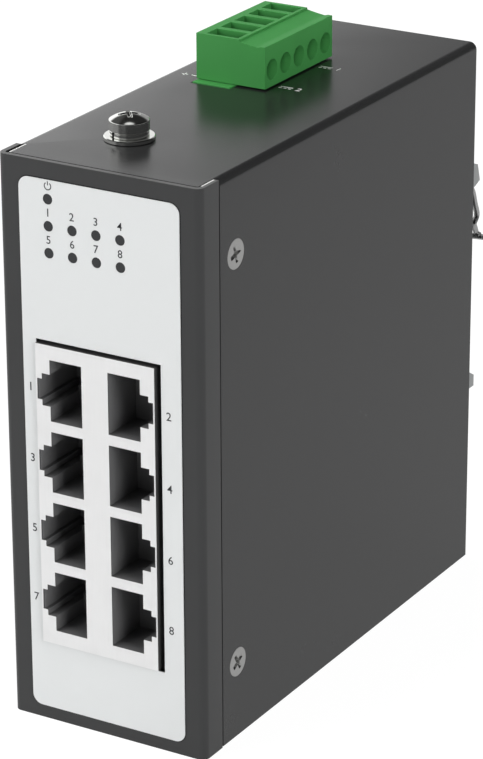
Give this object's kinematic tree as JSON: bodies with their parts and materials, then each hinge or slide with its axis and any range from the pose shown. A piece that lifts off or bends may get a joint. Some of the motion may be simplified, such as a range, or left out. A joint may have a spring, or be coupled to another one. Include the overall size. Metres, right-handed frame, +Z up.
{
  "type": "din rail ethernet switch",
  "caption": "Upright sheet-metal network switch for a DIN rail, with a ganged port block on its front, a pluggable power terminal and earth screw on top, and a sprung rail clip at the back.",
  "frame": {"origin": "on the surface it stands on, under the middle of the whole part's box", "axes": "+Z up the housing, -Y out of the front face, +X to the right seen from the front"},
  "size_m": [0.0422, 0.1146, 0.1193],
  "materials": {
    "housing_paint": "fine textured dark grey powder coat",
    "front_paint": "fine textured dark grey powder coat",
    "label": "satin light grey film with small dark figures",
    "zinc_steel": "zinc plated sheet",
    "screw_steel": "bright nickel plated screws",
    "earth_steel": "polished nickel plate",
    "clip_steel": "satin zinc plate",
    "spring_steel": "drawn wire",
    "shield_tin": "matte tin plate",
    "jack_black": "moulded black plastic",
    "gold": "gold flashed contacts",
    "board_green": "solder resist on glass fibre laminate",
    "film": "translucent polyester film",
    "chip_black": "moulded epoxy",
    "pad_grey": "soft thermal pad",
    "sink_black": "black anodised",
    "can_aluminium": "drawn can",
    "ferrite": "moulded ferrite",
    "fuse_ceramic": "glazed ceramic",
    "guide_grey": "smoked clear plastic",
    "led_white": "phosphor and clear resin",
    "terminal_green": "moulded green plastic",
    "terminal_tin": "tinned copper alloy"
  },
  "bodies": {
    "housing": {"front_panel": "front_paint", "front_label": "label", "cover": "housing_paint", "side_rails": "zinc_steel", "rear_plate": "housing_paint", "chassis": "zinc_steel", "side_screws": "screw_steel", "press_nuts": "zinc_steel", "rear_screws": "screw_steel", "ground_screw": "earth_steel", "ground_spring_washer": "earth_steel", "ground_flat_washer": "earth_steel", "ground_nut": "zinc_steel", "din_plate": "clip_steel", "din_screws": "screw_steel", "insulating_sheet": "film", "board_standoffs": "zinc_steel", "main_board": "board_green", "board_screws": "screw_steel", "jack_shield": "shield_tin", "jack_housing": "jack_black", "jack_contacts": "gold", "magnetics": "chip_black", "switch_chip": "chip_black", "thermal_pad": "pad_grey", "heat_sink": "sink_black", "memory_chip": "chip_black", "crystal": "can_aluminium", "regulator_chip": "chip_black", "power_inductor": "ferrite", "power_capacitors": "can_aluminium", "input_fuse": "fuse_ceramic", "surge_diodes": "chip_black", "light_guide": "guide_grey", "led_board": "board_green", "led_chips": "led_white", "led_header": "chip_black", "led_header_pins": "gold", "terminal_header": "terminal_green", "header_pins": "terminal_tin"},
    "power_plug": {"terminal_plug": "terminal_green", "plug_contacts": "terminal_tin"},
    "rail_spring": {"din_spring": "spring_steel"},
    "screw_1": {"clamp_screw_1": "screw_steel"},
    "cage_1": {"wire_cage_1": "terminal_tin"},
    "screw_2": {"clamp_screw_2": "screw_steel"},
    "cage_2": {"wire_cage_2": "terminal_tin"},
    "screw_3": {"clamp_screw_3": "screw_steel"},
    "cage_3": {"wire_cage_3": "terminal_tin"},
    "screw_4": {"clamp_screw_4": "screw_steel"},
    "cage_4": {"wire_cage_4": "terminal_tin"},
    "screw_5": {"clamp_screw_5": "screw_steel"},
    "cage_5": {"wire_cage_5": "terminal_tin"}
  },
  "joints": [
    {"name": "plug_pull", "type": "slide", "parent": "housing", "child": "power_plug", "axis": [0, 0, 1], "range_m": [0, 0.01]},
    {"name": "rail_spring_swing", "type": "hinge", "parent": "housing", "child": "rail_spring", "pos_m": [0, 0.05083, 0.079], "axis": [1, 0, 0], "range_deg": [0, 12], "stiffness_Nm_per_rad": 0.4},
    {"name": "clamp_turn_1", "type": "hinge", "parent": "power_plug", "child": "screw_1", "pos_m": [-0.00059, 0.00136, 0.1137], "axis": [-1, 0, 0], "range_deg": [0, 1584]},
    {"name": "cage_slide_1", "type": "slide", "parent": "power_plug", "child": "cage_1", "axis": [1, 0, 0], "range_m": [0, 0.0022]},
    {"name": "clamp_turn_2", "type": "hinge", "parent": "power_plug", "child": "screw_2", "pos_m": [-0.00059, 0.00645, 0.1137], "axis": [-1, 0, 0], "range_deg": [0, 1584]},
    {"name": "cage_slide_2", "type": "slide", "parent": "power_plug", "child": "cage_2", "axis": [1, 0, 0], "range_m": [0, 0.0022]},
    {"name": "clamp_turn_3", "type": "hinge", "parent": "power_plug", "child": "screw_3", "pos_m": [-0.00059, 0.01153, 0.1137], "axis": [-1, 0, 0], "range_deg": [0, 1584]},
    {"name": "cage_slide_3", "type": "slide", "parent": "power_plug", "child": "cage_3", "axis": [1, 0, 0], "range_m": [0, 0.0022]},
    {"name": "clamp_turn_4", "type": "hinge", "parent": "power_plug", "child": "screw_4", "pos_m": [-0.00059, 0.01661, 0.1137], "axis": [-1, 0, 0], "range_deg": [0, 1584]},
    {"name": "cage_slide_4", "type": "slide", "parent": "power_plug", "child": "cage_4", "axis": [1, 0, 0], "range_m": [0, 0.0022]},
    {"name": "clamp_turn_5", "type": "hinge", "parent": "power_plug", "child": "screw_5", "pos_m": [-0.00059, 0.02168, 0.1137], "axis": [-1, 0, 0], "range_deg": [0, 1584]},
    {"name": "cage_slide_5", "type": "slide", "parent": "power_plug", "child": "cage_5", "axis": [1, 0, 0], "range_m": [0, 0.0022]}
  ],
  "couplings": [
    {"joint": "clamp_turn_1", "follows": "cage_slide_1", "rad_per_m": 12566},
    {"joint": "clamp_turn_2", "follows": "cage_slide_2", "rad_per_m": 12566},
    {"joint": "clamp_turn_3", "follows": "cage_slide_3", "rad_per_m": 12566},
    {"joint": "clamp_turn_4", "follows": "cage_slide_4", "rad_per_m": 12566},
    {"joint": "clamp_turn_5", "follows": "cage_slide_5", "rad_per_m": 12566}
  ]
}
